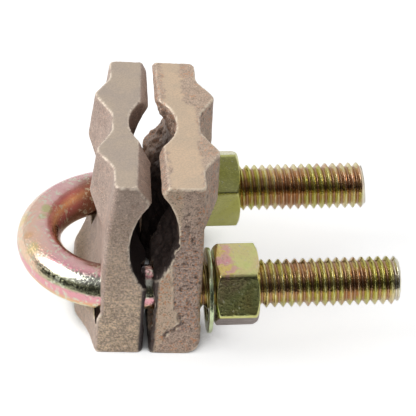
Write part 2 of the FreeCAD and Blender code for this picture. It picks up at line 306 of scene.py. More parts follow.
# %% Bronze material
def bronze_material(name, ground_colours, mottling, grain, rusting, tint):
    """Cast bronze; mottling, grain and rusting run from 0, an even and clean skin, to 1."""
    material, maker, shader = new_material(name)
    m, ramp, noise, times = maker.maths, maker.ramp, maker.noise, maker.product
    place = object_place(maker)
    ground, burnt = attribute(maker, "ground"), attribute(maker, "burnt")
    broad = ramp(noise(place, 170, 3, 0.55), 0.35, 0.65)
    mottle = noise(place, 950, 4, 0.65)
    fine = noise(place, 3400, 3, 0.65)
    speckle = noise(place, 4200, 2, 0.6)

    # The skin: light and dark grains, glints on the highest, holes and rust most where it was burnt
    mottled = ramp(mottle, 0.36, 0.62, 0.5 - 0.5 * mottling, 0.5 + 0.5 * mottling)
    glint = times(ramp(speckle, 0.60, 0.66, 0, 0.85), ramp(mottle, 0.42, 0.58))
    holes = times(ramp(noise(place, 1300, 3, 0.6), 0.58, 0.65), m("MULTIPLY_ADD", burnt, 0.8, 0.08))
    rust_patch = ramp(noise(place, 230, 2), 0.42, 0.58, 0, rusting)
    rust = times(ramp(noise(place, 1900, 2, 0.7), 0.55, 0.61), m("MAXIMUM", rust_patch, burnt))
    skin = layered(maker, mixed(maker, mottled, skin_mid, skin_light), [
        (times(broad, 0.35), skin_dark),
        (times(attribute(maker, "calm"), 0.75), calm_skin),
        (times(burnt, 0.8), burnt_skin),
        # painted shade on the walls of the rod groove just below the top
        (times(attribute(maker, "rod_wall"), 0.85), skin_dark),
        (ramp(fine, 0.50, 0.60, 0, grain), skin_light),
        (ramp(fine, 0.47, 0.38, 0, grain), skin_dark),
        (glint, pale_wear_and_highlight),
        (holes, pit_dark),
        (times(rust, 0.8), speck_orange)])

    # Ground metal: even on the top, and on the end face with the strokes of the wheel, grit and clouds
    end_face = ramp(parts_of(maker, place)["Z"], *below_the_top)
    stroke_place = maker.vector("MULTIPLY", place, (0.12, 0.12, 1.0))
    strokes = ramp(noise(stroke_place, 3600, 3, 0.7), 0.30, 0.70)
    stroked = mixed(maker, strokes, stroke_dark, stroke_light)
    stroked = mixed(maker, ramp(fine, 0.45, 0.60, 0, 0.4), stroked, skin_light)
    polished = mixed(maker, broad, *ground_colours)
    polished = mixed(maker, times(end_face, 0.75), polished, stroked)
    grit = ramp(noise(place, 2700, 3, 0.7), 0.40, 0.60, -1.0, 1.0)
    clouds = ramp(noise(place, 300, 3, 0.6), 0.36, 0.64, -1.0, 1.0)
    shade = m("MULTIPLY_ADD", grit, m("MULTIPLY_ADD", end_face, 0.42, 0.06), 1.0)
    shade = m("MULTIPLY_ADD", clouds, times(end_face, 0.14), shade)
    polished = maker.scaled(polished, shade)

    # All of it together: the grooves darkened by dirt and painted shade, with some dust, and pale edges,
    # partly worn and partly a painted highlight
    dust = times(ramp(speckle, 0.66, 0.70, 0, 0.4), ramp(broad, 0.3, 0.7))
    # dirt and painted shade in the grooves, lighter where dust lies
    dirt_and_shade = m("SUBTRACT", attribute(maker, "inside"), dust, clamp=True)
    # the fold's lip painted pale as a highlight, broken up by the mottle
    lip = times(attribute(maker, "lip"), ramp(mottle, 0.40, 0.56, 0, 0.75))
    colour = layered(maker, skin, [
        (ground, polished),
        (attribute(maker, "pit"), pit_dark),
        (dirt_and_shade, groove_dark),
        # pale edges, partly wear and partly painted highlight, and the fold's lip, painted as a highlight
        (m("MAXIMUM", attribute(maker, "worn_and_highlight"), lip), pale_wear_and_highlight)])
    maker.set(shader.inputs["Base Color"], maker.vector("MULTIPLY", colour, tint))
    shader.inputs["Metallic"].default_value = 0.35
    maker.set(shader.inputs["Roughness"], ramp(fine, 0.35, 0.65, 0.38, 0.56))
    height = m("MULTIPLY_ADD", mottle, 0.6, times(fine, 0.5))
    height = m("MULTIPLY_ADD", holes, -0.6, height)
    bumped(maker, shader, height, m("MULTIPLY_ADD", ground, -0.62, 0.72), skin_relief)
    return material


rear_bronze = bronze_material("cast_bronze_rear", rear_ground, 0.35, 0.5, 0.25, (1.02, 1.03, 1.08))
front_bronze = bronze_material("cast_bronze_front", front_ground, 0.9, 0.85, 1.0, (1.04, 1.03, 1.03))
print("bronze materials:", rear_bronze.name, front_bronze.name)

# %% [markdown]
# ## The castings
#
# The frame's jaws are exact solids with sharp edges and few faces. A voxel remesh turns a copy of one into
# an even net of small squares, which a cast skin needs: every point can then move a little. Remesh leaves
# small steps on slanting faces, so the points are smoothed a few times, which also rounds the edges as a
# mould does.

# %% Dense copies of the jaws
voxel = 0.26 * MM
smoothing_steps = 2


def dense_copy(node, name):
    """A welded, evenly meshed copy of a frame node."""
    mesh = nodes[node].data.copy()
    weld = bmesh.new()
    weld.from_mesh(mesh)
    bmesh.ops.remove_doubles(weld, verts=weld.verts, dist=1e-6)
    weld.to_mesh(mesh)
    weld.free()
    mesh.materials.clear()
    obj = bpy.data.objects.new(name, mesh)
    scene.collection.objects.link(obj)
    remesh = obj.modifiers.new("even net", "REMESH")
    remesh.mode = "VOXEL"
    remesh.voxel_size = voxel
    smooth = obj.modifiers.new("rounded edges", "SMOOTH")
    smooth.factor = 0.5
    smooth.iterations = smoothing_steps
    bpy.context.view_layer.update()
    evaluated = obj.evaluated_get(bpy.context.evaluated_depsgraph_get())
    obj.data = bpy.data.meshes.new_from_object(evaluated)
    obj.modifiers.clear()
    print(f"{name}: {triangle_count(obj.data)} triangles")
    return obj


rear_cast = dense_copy("rear_jaw", "rear_jaw_cast")
front_cast = dense_copy("front_jaw", "front_jaw_cast")

# %% [markdown]
# ## Flaws of the front casting
#
# The near end of the front jaw has a fold where two streams of metal met in the mould: a smoother skin on
# the side of the grooves ends in a low step with a lip, painted pale as a highlight, and the step ends below
# in a crack. The fold is a line on the end face, given by a few points. Each point of the net finds its
# distance to that line with arrays, and it sinks on the outer side of the line. Where the fold meets the edge
# of the cable groove, the edge has a nick, and below it the metal stands a little into the groove. Three
# attributes keep this
# for the material: `calm` for the smooth side, `lip` along the line and `burnt` for the rough side.

# %% Fold line on the near end
near_end_of_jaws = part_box("front_jaw")[0].y
fold_line = np.array([
    (4.9, 26.5), (4.9, 24.6), (4.0, 23.2), (4.0, 19.3), (4.5, 15.0), (4.6, 11.6), (5.7, 9.0), (6.15, 6.9),
    (4.9, 5.9), (3.8, 5.4), (3.4, 4.3)]) * MM
crack_from = 7            # the point of the fold line where the step turns into a crack
step_depth = 0.24 * MM
step_width = 0.35 * MM
crack_depth = 0.55 * MM
crack_width = 0.24 * MM
lip_width = 0.22 * MM
nick_depth = 0.35 * MM
lobe_height = 0.45 * MM   # of the metal that stands into the groove below the nick
face_reach = 0.9 * MM     # how deep below the end face the points still move
edge_reach = 2.0 * MM     # the same for the nick and the metal below it


def distance_to_line(places, line):
    """Distance of each (x, z) place to a line of points, and the number of its nearest stretch."""
    best = np.full(len(places), np.inf)
    nearest = np.zeros(len(places), int)
    for index, (start, end) in enumerate(zip(line[:-1], line[1:])):
        run = end - start
        share = np.clip((places - start) @ run / (run @ run), 0, 1)
        gap = np.linalg.norm(places - start - share[:, None] * run, axis=1)
        nearest[gap < best] = index
        best = np.minimum(best, gap)
    return best, nearest


def wavy(places, period, amount):
    """A small offset that changes along the face, so that no line is straight."""
    turns = places * math.tau / period
    waves = np.stack([np.sin(turns[:, 1] + 1.3), np.sin(turns[:, 0])], axis=-1)
    return amount * (waves + 0.5 * np.sin(turns * 2.7))


def hill(value, middle, width):
    """1 at the middle, falling to both sides."""
    return np.exp(-((value - middle) / width) ** 2)


def add_marks(obj, **marks):
    """Stores each array as an attribute of the mesh's points."""
    for name, values in marks.items():
        mark = obj.data.attributes.new(name, "FLOAT", "POINT")
        mark.data.foreach_set("value", values)


def add_fold(obj):
    mesh = obj.data
    points = np.empty(3 * len(mesh.vertices))
    mesh.vertices.foreach_get("co", points)
    points = points.reshape(-1, 3)
    depth = points[:, 1] - near_end_of_jaws
    on_face = np.clip(1 - depth / face_reach, 0, 1)
    places = points[:, [0, 2]] + wavy(points[:, [0, 2]], 2.1 * MM, 0.12 * MM)
    gap, nearest = distance_to_line(places, fold_line)
    start, end = fold_line[nearest], fold_line[nearest + 1]
    outside = np.cross(end - start, places - start) > 0
    signed = np.where(outside, gap, -gap)
    above_foot = np.clip((places[:, 1] - fold_line[:, 1].min()) / (2 * MM), 0, 1)
    below_top = np.clip((31 * MM - places[:, 1]) / (4 * MM), 0, 1)
    in_height = above_foot * below_top
    sunk = np.clip(signed / step_width + 0.5, 0, 1) * np.clip(3.5 - signed / (2 * MM), 0, 1) * in_height
    cracked = hill(gap, 0, crack_width) * (nearest >= crack_from - 1)
    points[:, 1] += on_face * (step_depth * sunk + crack_depth * cracked)
    x, z = points[:, 0], points[:, 2]
    by_the_edge = hill(x, 4.9 * MM, 0.9 * MM) * np.clip(1 - depth / edge_reach, 0, 1)
    sideways = nick_depth * hill(z, 25.3 * MM, 0.45 * MM) - lobe_height * hill(z, 23.9 * MM, 0.7 * MM)
    points[:, 0] += by_the_edge * sideways
    mesh.vertices.foreach_set("co", points.ravel())
    # along the fold line, a mark for the lip that the material paints pale as a highlight
    add_marks(obj, calm=on_face * (1 - np.clip(signed / (0.4 * MM) + 0.5, 0, 1)) * (1 - cracked),
              lip=on_face * hill(signed, -lip_width, lip_width) * in_height,
              burnt=on_face * np.clip(sunk + cracked, 0, 1))
    mesh.update()
    print("points moved by the fold:", int((sunk * on_face > 0.01).sum()))


add_fold(front_cast)
# The rear jaw has no flaw, but its skin and material read the same attributes
unmarked = np.zeros(len(rear_cast.data.vertices))
add_marks(rear_cast, calm=unmarked, lip=unmarked, burnt=unmarked)

# %% [markdown]
# ## Cast skin with Geometry Nodes
#
# The tree moves each point along its normal by layers of noise, and it leaves ground faces flat. It also
# writes the attributes that the material reads. Pale edges, partly worn and partly a painted highlight, are
# found
# by shape: a point that stands proud of the average of its neighbours is on an outer edge. The ground part of
# a top face lies between two lines along the jaw, and noise makes its border ragged. The lands of the two
# jaws nearly touch, so near the parting plane the skin only sinks.

# %% Cast skin tree
def cast_skin_tree():
    maker, geometry, v = geometry_tree(
        "cast skin", Top=0.038, Inward=1.0, End_Ground=0.0, Ground_In=0.0, Ground_Out_Near=0.02,
        Ground_Out_Far=0.02, Lump_Height=0.00012, Groove_Lumps=0.0002, Grain_Height=0.00005,
        Pit_Depth=0.00016, Pit_Share=0.5, Groove_Dirt=0.9, Seed=0.0, Material=None)
    m, ramp, noise, times = maker.maths, maker.ramp, maker.noise, maker.product
    place = maker.add("GeometryNodeInputPosition").outputs[0]
    normal = maker.add("GeometryNodeInputNormal").outputs[0]
    shift = maker.add("ShaderNodeCombineXYZ", {"X": v["Seed"]}).outputs[0]
    sample = maker.vector("ADD", place, shift)
    calm = maker.add("GeometryNodeInputNamedAttribute", {"Name": "calm"}).outputs[0]
    faces, at = parts_of(maker, normal), parts_of(maker, place)
    out = times(at["X"], v["Inward"], -1.0)          # away from the parting plane
    below_top = m("SUBTRACT", v["Top"], at["Z"])

    # Ground metal on the top, between two lines along the jaw, and on the near end
    ragged = times(m("SUBTRACT", noise(sample, 420, 4, 0.6), 0.5), 0.004)
    on_top = times(ramp(faces["Z"], 0.86, 0.97), ramp(below_top, 0.0005, 0.0002))
    to_far = ramp(at["Y"], 0.004, 0.009)
    outer = m("MULTIPLY_ADD", m("SUBTRACT", v["Ground_Out_Far"], v["Ground_Out_Near"]), to_far,
              v["Ground_Out_Near"])
    past_inner = ramp(m("SUBTRACT", m("ADD", out, ragged), v["Ground_In"]), 0.0, 0.0004)
    before_outer = ramp(m("SUBTRACT", outer, m("SUBTRACT", out, ragged)), 0.0, 0.0006)
    ground_top = times(on_top, m("MULTIPLY_ADD", times(past_inner, before_outer), 0.7, 0.3))
    low_down = ramp(at["Z"], 0.032, 0.006, 0.35, 1.0)
    ground_end = times(ramp(faces["Y"], -0.86, -0.97), low_down, v["End_Ground"])
    ground = m("MAXIMUM", ground_top, ground_end)

    # Grooves, and the dirt and painted shade in them, darker with depth and thinning out towards the top and
    # the far end
    facing_in = ramp(times(faces["X"], v["Inward"]), 0.12, 0.5)
    deep = times(ramp(below_top, 0.006, 0.014, 0.05, 1.0), v["Groove_Dirt"])
    far_mouth = ramp(at["Y"], 0.008, 0.018, 1.0, 0.15)
    # dirt and painted shade: stronger deeper down, weaker towards the far mouth
    dirt_and_shade = times(facing_in, ramp(below_top, 0.003, 0.008), deep, far_mouth)
    cavity = times(facing_in, ramp(below_top, 0.0004, 0.0015))
    in_rod_groove = ramp(m("ABSOLUTE", at["Y"]), 0.009, 0.007)
    in_groove = times(cavity, m("MAXIMUM", in_rod_groove, ramp(at["Z"], 0.029, 0.024, 0.15, 1.0)))

    # Pale edges, partly worn and partly a painted highlight
    blurred = maker.add("GeometryNodeBlurAttribute", {"Iterations": 5}, data_type="FLOAT_VECTOR")
    maker.set(blurred.inputs["Value"], place)
    proud = maker.vector("DOT_PRODUCT", maker.vector("SUBTRACT", place, blurred.outputs[0]), normal)
    edge = ramp(proud, 0.00004, 0.0001)
    break_up = ramp(noise(sample, 1300, 3, 0.65), 0.38, 0.54)
    rubbed = ramp(m("MULTIPLY_ADD", facing_in, -0.004, out), -0.004, 0.001, 0.6, 1.0)
    worn_and_highlight = times(edge, break_up, rubbed)

    # Relief: lumps, grain and pits, big lumps in the grooves, and chips out of the edges
    lumps = m("SUBTRACT", noise(sample, 300, 3, 0.5), 0.5)
    big_lumps = m("SUBTRACT", noise(sample, 480, 2, 0.5), 0.5)
    grain = m("SUBTRACT", noise(sample, 1250, 3, 0.6), 0.5)
    pit_zone = ramp(noise(sample, 110, 2), 0.38, 0.60)
    pit = times(ramp(noise(sample, 1150, 2, 0.55), 0.58, 0.70), pit_zone, v["Pit_Share"],
                m("MULTIPLY_ADD", calm, -0.85, 1.0))
    unground = m("MULTIPLY_ADD", ground, -0.96, 1.0)
    moved = times(lumps, v["Lump_Height"])
    moved = m("MULTIPLY_ADD", grain, v["Grain_Height"], moved)
    moved = m("MULTIPLY_ADD", times(pit, v["Pit_Depth"]), -1.0, moved)
    moved = m("MULTIPLY_ADD", times(big_lumps, in_groove), v["Groove_Lumps"], moved)
    moved = times(moved, unground)
    moved = m("MULTIPLY_ADD", m("SUBTRACT", edge, worn_and_highlight), -0.00008, moved)
    clear_of_land = ramp(out, 0.0009, 0.0016, 0.0, 0.001)
    facing_away = ramp(facing_in, 0.5, 0.2, 0.0, 0.001)
    moved = m("MINIMUM", moved, m("MAXIMUM", clear_of_land, facing_away))

    stored = with_marks(maker, geometry, {
        "ground": ground, "worn_and_highlight": worn_and_highlight, "pit": times(pit, unground), "inside": dirt_and_shade,
        # painted shade on the walls of the rod groove just below the top
        "rod_wall": times(cavity, in_rod_groove)})
    goal = maker.vector("ADD", place, maker.scaled(normal, moved))
    highest = maker.add("ShaderNodeCombineXYZ", {"X": 1.0, "Y": 1.0, "Z": v["Top"]}).outputs[0]
    goal = maker.vector("MINIMUM", maker.vector("MAXIMUM", goal, (-1.0, -1.0, 0.0)), highest)
    shaped = maker.add("GeometryNodeSetPosition", {"Geometry": stored, "Position": goal})
    finish_tree(maker, shaped.outputs[0], v["Material"])
    return maker


cast_skin = cast_skin_tree()
top_of_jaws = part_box("rear_jaw")[1].z
grow(rear_cast, cast_skin, Top=top_of_jaws, Inward=1.0, End_Ground=0.68, Ground_In=0.0,
     Ground_Out_Near=0.03, Ground_Out_Far=0.03, Pit_Share=0.35, Groove_Dirt=0.95, Seed=0.0,
     Material=rear_bronze)
grow(front_cast, cast_skin, Top=top_of_jaws, Inward=-1.0, End_Ground=0.0, Ground_In=2.3 * MM,
     Ground_Out_Near=8.6 * MM, Ground_Out_Far=6.2 * MM, Lump_Height=0.00022, Groove_Lumps=0.0024,
     Pit_Share=0.9, Groove_Dirt=0.9, Seed=0.5, Material=front_bronze)

# %% [markdown]
# ## Yellow chromate on zinc
#
# The bolt, nuts and washers are bright zinc under a thin film of yellow chromate. The film's thickness
# varies, so its colour runs from straw and gold through olive green to pink. The metal itself is a mirror,
# a little dulled, and scattered pits make the borders of its reflections ragged. On the bolt the colour
# changes round the rod with the way the surface faces, from yellow below through pink and olive to lavender
# on top and orange inside the bend, with a silver band of painted highlight below the lavender. Painted shade
# darkens the rod by the jaw inside the bend, in the slot and in the thread's roots, and a pale painted
# highlight lies on the far left of the bend. Attributes say where a point lies: `outward` and `upward` give
# the way it faces, `thread` is 1 on the threaded stretches, `ridge` runs from the thread's root to its crest,
# and `tip` marks the cut ends, where the zinc is bare.

# %% Film colours
film_yellow = (0.86, 0.68, 0.30, 1)
film_gold = (0.90, 0.62, 0.20, 1)
film_lime = (0.66, 0.68, 0.30, 1)
film_orange = (0.90, 0.52, 0.27, 1)
# cream of the painted highlight at the far left of the bend
cream_highlight = (0.98, 0.68, 0.50, 1)
film_green = (0.52, 0.60, 0.24, 1)
film_pink = (0.86, 0.42, 0.46, 1)
film_lavender = (0.88, 0.57, 0.55, 1)
film_olive = (0.50, 0.50, 0.31, 1)
# silver of bare zinc at the tips and on scuffs, and round the rod a painted highlight band
silver_and_highlight = (0.84, 0.83, 0.72, 1)
film_fleck = (0.80, 0.84, 0.66, 1)
film_red = (0.66, 0.24, 0.24, 1)
# brown of the film, also the painted shade by the jaw inside the bend
film_brown = (0.34, 0.17, 0.11, 1)
# brown of the painted shade low on the near nut
nut_brown_shade = (0.20, 0.115, 0.085, 1)
thread_gold = (0.84, 0.73, 0.42, 1)
thread_olive = (0.66, 0.62, 0.22, 1)
thread_rust = (0.66, 0.38, 0.26, 1)
# brown of the painted shade in the thread's roots
thread_root_shade = (0.50, 0.31, 0.19, 1)

# Colours round the rod, from its underside at 0 to its top at 1; the silver stops are a painted highlight
# band
round_outside = [
    (0.08, film_lime), (0.17, film_yellow), (0.30, film_orange), (0.43, film_pink), (0.56, film_pink),
    (0.62, film_olive), (0.77, film_olive), (0.85, silver_and_highlight), (0.91, silver_and_highlight), (0.95, film_pink),
    (1.0, film_lavender)]
round_inside = [
    (0.0, film_lime), (0.25, film_brown), (0.5, film_brown), (0.70, film_red), (0.84, film_orange),
    (0.93, film_red), (1.0, film_lavender)]

# Patches on the bend: middle and reach in mm, and colour
bend_patches = [
    ((-19.1, 4.2, 15.0), 1.6, film_green), ((-19.9, 1.6, 15.1), 1.6, film_green),
    ((-19.6, -1.6, 15.1), 1.3, film_green), ((-23.6, 2.5, 13.0), 2.4, film_yellow),
    ((-21.8, -7.5, 13.8), 2.0, film_yellow), ((-22.6, -3.5, 13.6), 1.6, film_orange)]


# %% Plated surfaces
def patch(maker, place, middle, reach, wobble):
    """1 near a middle in mm, falling to 0 about reach mm away, with a wavy border."""
    offset = maker.vector("SUBTRACT", place, tuple(c * MM for c in middle))
    distance = maker.vector("LENGTH", offset)
    distance = maker.maths("MULTIPLY_ADD", maker.maths("SUBTRACT", wobble, 0.5), 2.5 * reach * MM, distance)
    return maker.ramp(distance, reach * MM, 0.4 * reach * MM)


def plated_surface(maker, shader, place, colour, roughness, pit_depth):
    """Mirror metal with the film's colour, slight dulling and scattered pits, flat between them."""
    maker.set(shader.inputs["Base Color"], colour)
    shader.inputs["Metallic"].default_value = 1.0
    dull = maker.ramp(maker.noise(place, 420, 3, 0.6), 0.35, 0.65, roughness, roughness + 0.1)
    maker.set(shader.inputs["Roughness"], dull)
    pits = maker.ramp(maker.noise(place, 2300, 3, 0.6), 0.50, 0.66)
    bumped(maker, shader, pits, 0.9, pit_depth)


# %% Bolt material
def bolt_material(name):
    material, maker, shader = new_material(name)
    m, ramp, noise, times = maker.maths, maker.ramp, maker.noise, maker.product
    place = object_place(maker)
    x = parts_of(maker, place)["X"]
    wobble = noise(place, 170, 4, 0.6)
    fine_wobble = noise(place, 1100, 5, 0.7)
    upward = attribute(maker, "upward")

    # The plain rod: brown painted shade by the jaw inside the bend, dark painted shade in the slot, and a
    # pale painted highlight at the far left
    height = m("MULTIPLY_ADD", m("SUBTRACT", wobble, 0.5), 0.22, upward)
    height = m("MULTIPLY_ADD", height, 0.5, 0.5)
    outer = colour_ramp(maker, height, round_outside)
    # painted shade, brown, on the inside of the bend next to the jaw
    shade_by_the_jaw = ramp(m("MULTIPLY_ADD", wobble, 0.006, x), -0.0115, -0.0075)
    inner = mixed(maker, times(shade_by_the_jaw, 0.8), colour_ramp(maker, height, round_inside), film_brown)
    rod = mixed(maker, ramp(attribute(maker, "outward"), 0.15, -0.15), outer, inner)
    # painted highlight, pale cream, on the upper side of the far left of the bend
    highlight_far_left = ramp(m("MULTIPLY_ADD", wobble, 0.008, x), -0.013, -0.018, 0, 0.85)
    flecks = times(ramp(fine_wobble, 0.53, 0.57, 0, 0.75), ramp(noise(place, 300, 3), 0.40, 0.52))
    # painted shade, dark, on the stretch of the leg inside the slot
    shade_in_slot = times(ramp(x, -0.0004, -0.0008), ramp(x, -0.009, -0.008))
    rod = layered(maker, rod, [(times(highlight_far_left, ramp(upward, 0.05, 0.35)), cream_highlight)])
    for middle, reach, colour in bend_patches:
        rod = mixed(maker, times(patch(maker, place, middle, reach, wobble), 0.65), rod, colour)
    rod = layered(maker, rod, [(flecks, film_fleck), (shade_in_slot, groove_dark)])

    # The thread, from olive to gold with rusty stretches, and its roots darkened brown with painted shade
    thread = mixed(maker, ramp(noise(place, 130, 2), 0.40, 0.58), thread_olive, thread_gold)
    ridge = m("MULTIPLY_ADD", m("SUBTRACT", fine_wobble, 0.5), 0.5, attribute(maker, "ridge"))
    thread = layered(maker, thread, [
        (ramp(noise(place, 190, 3, 0.6), 0.50, 0.64, 0, 0.8), thread_rust),
        (ramp(ridge, 0.45, 0.05), thread_root_shade)])

    colour = layered(maker, rod, [
        (attribute(maker, "thread"), thread),
        (times(attribute(maker, "tip"), 0.75), silver_and_highlight)])
    plated_surface(maker, shader, place, colour, 0.08, 0.021 * MM)
    return material


# %% Nut and washer material
def chromate_material(name, stops, scale, blush_places=(), shade_below=-1.0):
    """Bright plated steel whose film runs through the given colours, pink in places, with brown painted shade
    low down.
    """
    material, maker, shader = new_material(name)
    place = object_place(maker)
    wobble = maker.noise(place, 300, 4, 0.65)
    colour = colour_ramp(maker, maker.noise(place, scale, 3, 0.5, 0.6), stops)
    for middle in blush_places:
        blush = mixed(maker, maker.ramp(wobble, 0.46, 0.54), film_pink, film_gold)
        amount = maker.product(patch(maker, place, middle, 3.0, wobble), 0.7)
        colour = mixed(maker, amount, colour, blush)
    # painted shade: brown below the given height
    low = maker.ramp(parts_of(maker, place)["Z"], shade_below, shade_below - 0.0006)
    scuff = maker.ramp(maker.noise(place, 1700, 4, 0.7), 0.61, 0.67, 0, 0.5)
    colour = layered(maker, colour, [(low, nut_brown_shade), (scuff, silver_and_highlight)])
    plated_surface(maker, shader, place, colour, 0.14, 0.018 * MM)
    maker.set(shader.inputs["Metallic"], maker.maths("MULTIPLY_ADD", scuff, -0.9, 1.0))
    return material


near_nut_middle = Vector(joints["near_nut_turn"]["pos_m"]) / MM
near_nut_blushes = [near_nut_middle + Vector(offset) for offset in ((-2.6, -4.0, 6.4), (-3.6, 0.0, 7.4))]
near_nut_stops = [(0.30, (0.74, 0.66, 0.24, 1)), (0.46, (0.70, 0.74, 0.29, 1)), (0.58, (0.78, 0.75, 0.33, 1)),
                  (0.72, (0.80, 0.62, 0.35, 1))]
far_nut_stops = [(0.30, (0.55, 0.55, 0.15, 1)), (0.52, (0.63, 0.63, 0.25, 1)), (0.64, (0.78, 0.60, 0.35, 1))]
washer_stops = [(0.35, (0.47, 0.50, 0.26, 1)), (0.52, (0.68, 0.80, 0.50, 1)), (0.66, (0.74, 0.55, 0.42, 1))]
bolt_finish = bolt_material("chromate_bolt")
near_nut_finish = chromate_material("chromate_near_nut", near_nut_stops, 150, near_nut_blushes,
                                    shade_below=(near_nut_middle.z - 1.6) * MM)
far_nut_finish = chromate_material("chromate_far_nut", far_nut_stops, 120)
washer_finish = chromate_material("chromate_washer", washer_stops, 160)

# %% [markdown]
# ## The U-bolt with Geometry Nodes
#
# One grid makes the whole bolt. Its long side follows the bolt from the near tip round the bend to the far
# tip, and its short side goes once round the rod. Each row is sheared by one pitch per turn, so the rows
# run along the helix and the thread's crest stays sharp. The radius of a row is the thread's profile, which
# repeats every pitch, and it fades into the plain rod near the bend. Rows that run past a tip close it: they
# shrink to a point on the end plane.

# %% U-bolt sizes
leg_spacing = 31.0 * MM
leg_height = 11.3 * MM
bend_back = 4.9 * MM         # parting plane to the middle of the bend
near_leg_end = 47.2 * MM     # parting plane to the tip
far_leg_end = 45.6 * MM
thread_start = 1.0 * MM
pitch = 1.5875 * MM          # 16 to the inch
crest_radius = 4.60 * MM
root_radius = 3.76 * MM
shank_radius = 4.21 * MM
tip_chamfer = 0.75 * MM
far_tip_slant = 5.5          # degrees by which the tip was sheared out of square
rows_per_pitch = 12
points_round = 60
bolt_pivot = Vector((-3.0, 0.0, 11.3)) * MM
leg_direction = Vector(joints["front_jaw_slide"]["axis"])


def set_in_slots():
    """The turn that lays the square-built bolt the way it lies in its slots."""
    lean = math.asin(leg_direction.z)
    swing = math.atan2(leg_direction.y, leg_direction.x)
    turned = Matrix.Rotation(swing, 4, "Z") @ Matrix.Rotation(-lean, 4, "Y")
    return Matrix.Translation(bolt_pivot) @ turned @ Matrix.Translation(-bolt_pivot)


# %% U-bolt tree
def u_bolt_tree():
    maker, geometry, v = geometry_tree(
        "u-bolt", Leg_Spacing=leg_spacing, Bend_Back=bend_back, Near_End=near_leg_end, Far_End=far_leg_end,
        Thread_Start=thread_start, Pitch=pitch, Crest=crest_radius, Root=root_radius, Shank=shank_radius,
        Chamfer=tip_chamfer, Slant_Degrees=far_tip_slant, Rows=rows_per_pitch, Round=points_round,
        Material=None)
    m, times = maker.maths, maker.product
    bend_r = times(v["Leg_Spacing"], 0.5)
    near_length = m("ADD", v["Near_End"], v["Bend_Back"])
    bend_length = times(bend_r, math.pi)
    total = m("ADD", m("ADD", near_length, bend_length), m("ADD", v["Far_End"], v["Bend_Back"]))
    turns = m("CEIL", m("ADD", m("DIVIDE", total, v["Pitch"]), 6.0))
    grid = maker.add("GeometryNodeMeshGrid", {
        "Size X": times(turns, v["Pitch"]), "Size Y": math.tau,
        "Vertices X": m("MULTIPLY_ADD", turns, v["Rows"], 1.0),
        "Vertices Y": m("ADD", v["Round"], 1.0)})
    flat = parts_of(maker, maker.add("GeometryNodeInputPosition").outputs[0])
    theta = flat["Y"]
    row = m("ADD", flat["X"], times(total, 0.5))
    along = m("MULTIPLY_ADD", theta, m("DIVIDE", v["Pitch"], math.tau), row)
    upward = m("SINE", theta)

    phase = m("FRACT", m("DIVIDE", row, v["Pitch"]))
    from_root = m("ABSOLUTE", m("SUBTRACT", times(phase, 2.0), 1.0))
    ridge = maker.ramp(from_root, 0.12, 0.94, smooth=False)
    threaded = maker.ramp(ridge, 0.0, 1.0, v["Root"], v["Crest"], smooth=False)
    near_thread = m("SUBTRACT", v["Near_End"], v["Thread_Start"])
    far_thread = m("SUBTRACT", total, m("SUBTRACT", v["Far_End"], v["Thread_Start"]))
    run_out = times(v["Pitch"], 1.5)
    near_weight = maker.ramp(along, near_thread, m("SUBTRACT", near_thread, run_out))
    far_weight = maker.ramp(along, far_thread, m("ADD", far_thread, run_out))
    weight = m("MAXIMUM", near_weight, far_weight)
    radius = m("MULTIPLY_ADD", m("SUBTRACT", threaded, v["Shank"]), weight, v["Shank"])

    slope = m("TANGENT", m("RADIANS", v["Slant_Degrees"]))
    to_tip = m("MINIMUM", m("MAXIMUM", along, 0.0), m("MAXIMUM", m("SUBTRACT", total, along), 0.0))
    cone = m("ADD", m("SUBTRACT", v["Crest"], v["Chamfer"]), to_tip)
    radius = m("MINIMUM", radius, cone)

    def far_plane(r):
        rise = m("MULTIPLY_ADD", upward, r, v["Crest"])
        return m("SUBTRACT", total, times(slope, rise))

    past_near = times(along, -1.0)
    past_far = m("SUBTRACT", along, far_plane(radius))
    past = m("MAXIMUM", m("MAXIMUM", past_near, past_far), 0.0)
    radius = m("MAXIMUM", m("MULTIPLY_ADD", past, -3.0, radius), 0.0)
    axial = m("MAXIMUM", m("MINIMUM", along, far_plane(radius)), 0.0)

    angle = m("DIVIDE", m("SUBTRACT", axial, near_length), bend_r)
    angle = m("MINIMUM", m("MAXIMUM", angle, 0.0), math.pi)
    straight = m("SUBTRACT", m("SUBTRACT", axial, near_length), times(angle, bend_r))
    sine, cosine = m("SINE", angle), m("COSINE", angle)
    reach = m("MULTIPLY_ADD", m("COSINE", theta), radius, bend_r)
    x = times(m("ADD", times(reach, sine), times(straight, cosine)), -1.0)
    y = m("SUBTRACT", times(straight, sine), times(reach, cosine))
    x = m("SUBTRACT", x, v["Bend_Back"])
    placed = maker.add("ShaderNodeCombineXYZ", {"X": x, "Y": y, "Z": times(upward, radius)}).outputs[0]

    tip = maker.ramp(to_tip, times(v["Chamfer"], 2.0), v["Chamfer"])
    stored = with_marks(maker, grid.outputs["Mesh"], {
        "outward": m("COSINE", theta), "upward": upward, "thread": weight,
        "ridge": times(ridge, weight), "tip": tip})
    shaped = maker.add("GeometryNodeSetPosition", {"Geometry": stored, "Position": placed})
    merged = maker.add("GeometryNodeMergeByDistance", {"Geometry": shaped.outputs[0], "Distance": 0.00001})
    outwards = maker.add("GeometryNodeFlipFaces", {"Mesh": merged.outputs[0]})
    finish_tree(maker, outwards.outputs[0], v["Material"])
    return maker


bolt = mesh_object("u_bolt_plated", [], [])
grow(bolt, u_bolt_tree(), Material=bolt_finish)
bolt.data.transform(Matrix.Translation((0, 0, leg_height)))
bolt.data.transform(set_in_slots())

# %% [markdown]
# ## Nuts and washers
#
# A nut is a lathe shape whose outer radius changes with the angle. Its section is walked once round: over
# the near face, along the outside, over the far face and back through the bore. At each step the radius is
# worked out for every angle at once with arrays, and the two directions of the array become a closed net.

